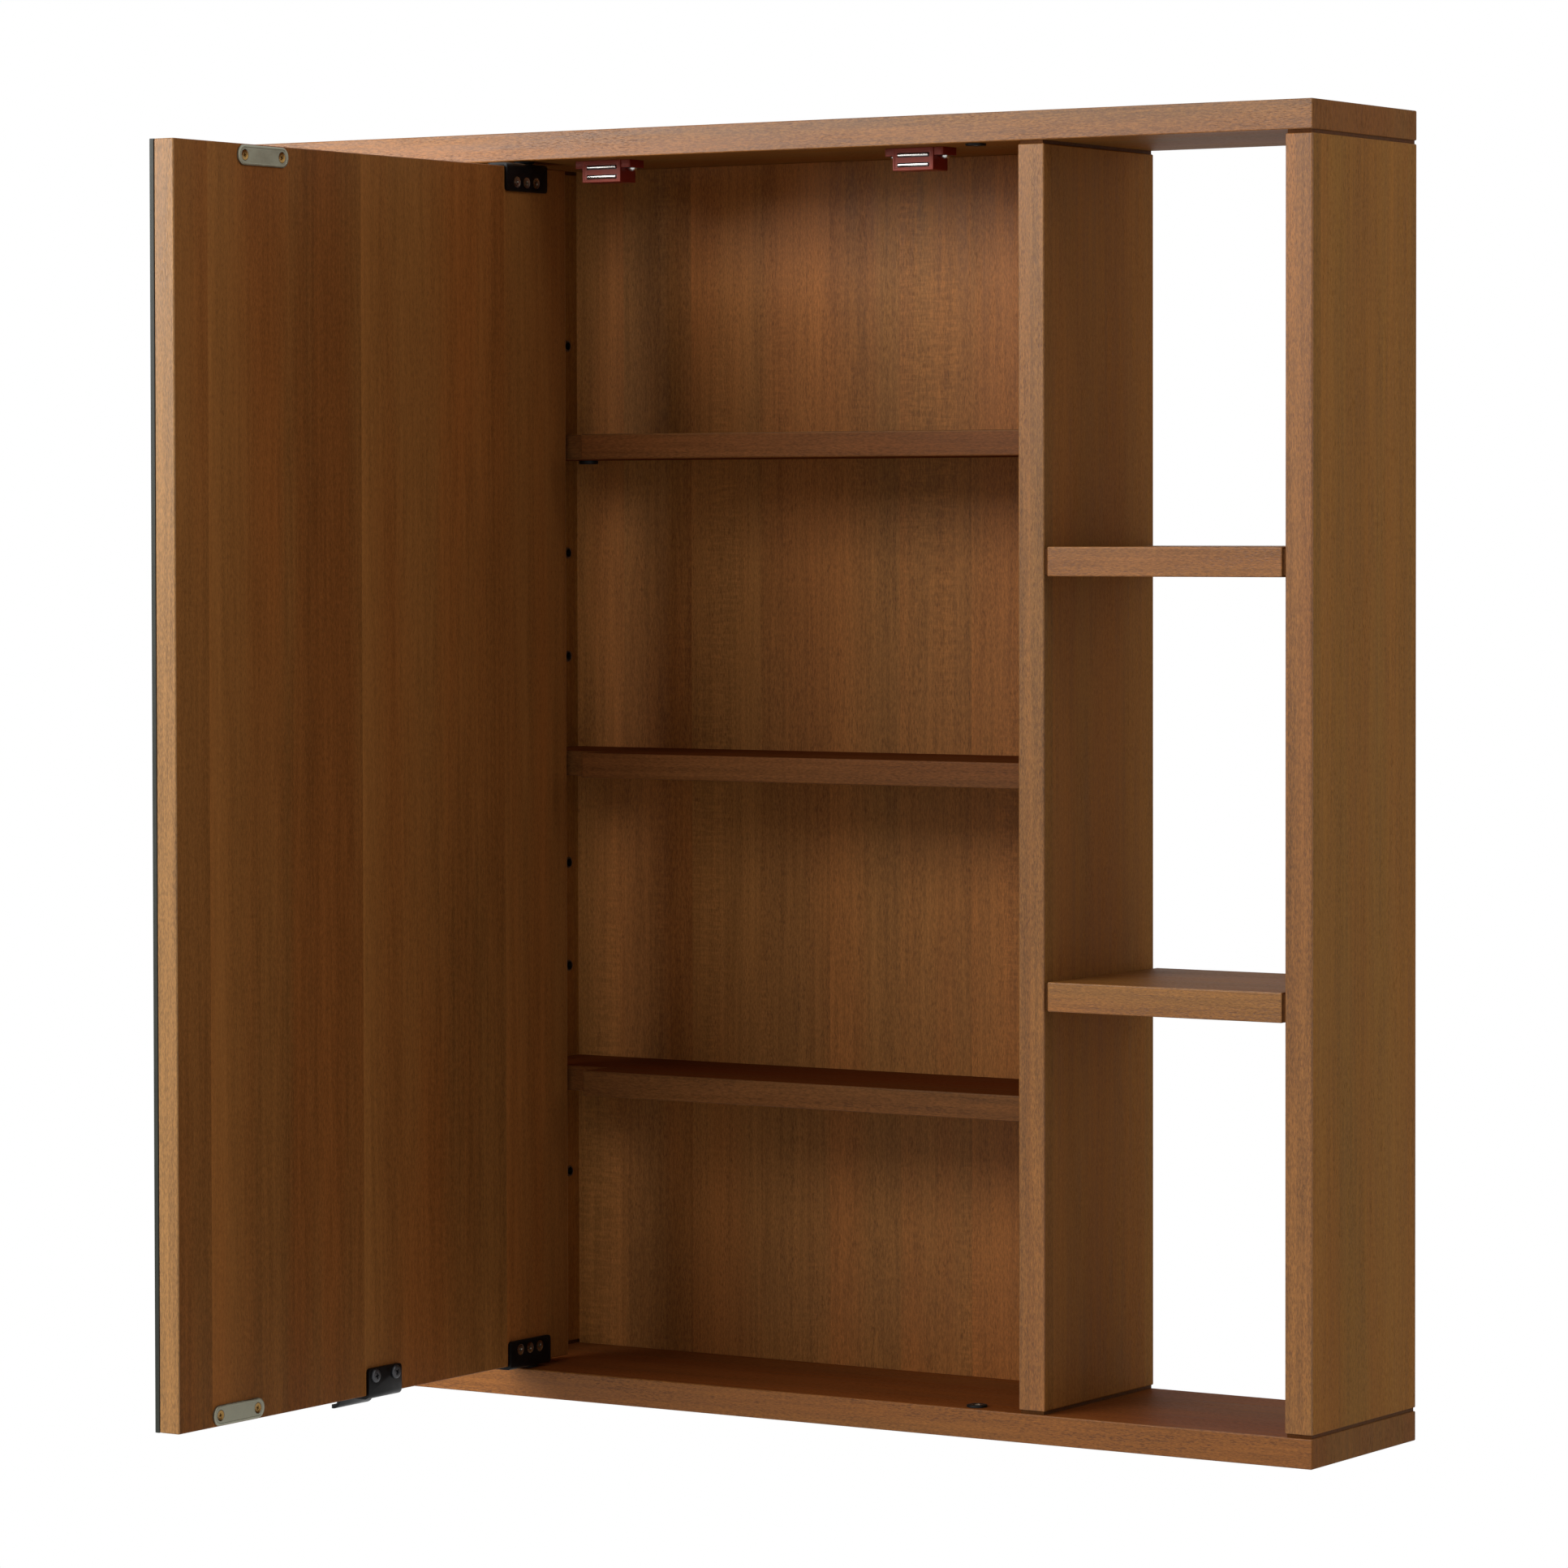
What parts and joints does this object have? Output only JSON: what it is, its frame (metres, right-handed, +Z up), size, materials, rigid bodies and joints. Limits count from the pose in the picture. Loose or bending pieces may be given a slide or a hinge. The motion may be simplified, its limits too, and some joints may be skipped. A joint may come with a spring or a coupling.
{
  "type": "medicine cabinet with mirror",
  "caption": "Wall-hung wooden medicine cabinet with a mirror door over adjustable shelves, and an open shelf bay on each side.",
  "frame": {"origin": "middle of the two wall screw holes, on the face of the wall", "axes": "+Z up, +Y into the wall, so the front faces -Y; +X to the right of someone facing the cabinet"},
  "size_m": [0.762, 0.4673, 0.762],
  "materials": {
    "wood_panels": "satin lacquer over brown veneer",
    "wood_boards": "satin lacquer over brown veneer",
    "wood_back": "satin lacquer over brown veneer",
    "wood_shelves": "satin lacquer over brown veneer",
    "wood_door": "satin lacquer over brown veneer",
    "plain_wood": "bare planed wood",
    "bright_steel": "zinc plated",
    "zinc_plate": "dull zinc plated sheet",
    "brass": "brass plated",
    "black_metal": "satin black coating",
    "black_plastic": "moulded, matte",
    "catch_plastic": "moulded, red brown",
    "magnet": "sintered magnet",
    "mirror": "silvered glass with a polished edge",
    "adhesive": "bonding film"
  },
  "bodies": {
    "cabinet": {"top_panel": "wood_panels", "bottom_panel": "wood_panels", "left_side": "wood_boards", "right_side": "wood_boards", "left_divider": "wood_boards", "right_divider": "wood_boards", "back_panel": "wood_back", "hanging_rail": "plain_wood", "wall_cleat": "plain_wood", "left_upper_shelf": "wood_shelves", "left_lower_shelf": "wood_shelves", "right_upper_shelf": "wood_shelves", "right_lower_shelf": "wood_shelves", "centre_upper_shelf": "wood_shelves", "centre_middle_shelf": "wood_shelves", "centre_lower_shelf": "wood_shelves", "case_dowels": "plain_wood", "bay_shelf_dowels": "plain_wood", "pin_sleeves": "bright_steel", "shelf_pins": "bright_steel", "shelf_housings": "black_plastic", "housing_screws": "bright_steel", "pivot_bushings": "black_plastic", "pivot_liners": "bright_steel", "left_catch_housing": "catch_plastic", "right_catch_housing": "catch_plastic", "catch_magnets": "magnet", "catch_poles": "bright_steel", "catch_screws": "bright_steel"},
    "door": {"door_panel": "wood_door", "mirror_glass": "mirror", "mirror_adhesive": "adhesive", "top_hinge_bracket": "black_metal", "bottom_hinge_bracket": "black_metal", "pivot_pins": "bright_steel", "hinge_screws": "bright_steel", "finger_pull": "black_metal", "pull_screws": "black_metal", "top_strike_plate": "zinc_plate", "bottom_strike_plate": "zinc_plate", "strike_screws": "brass"}
  },
  "joints": [
    {"name": "door_hinge", "type": "hinge", "parent": "cabinet", "child": "door", "pos_m": [-0.1586, -0.1187, 0], "axis": [0, 0, -1], "range_deg": [-90, 45]}
  ]
}
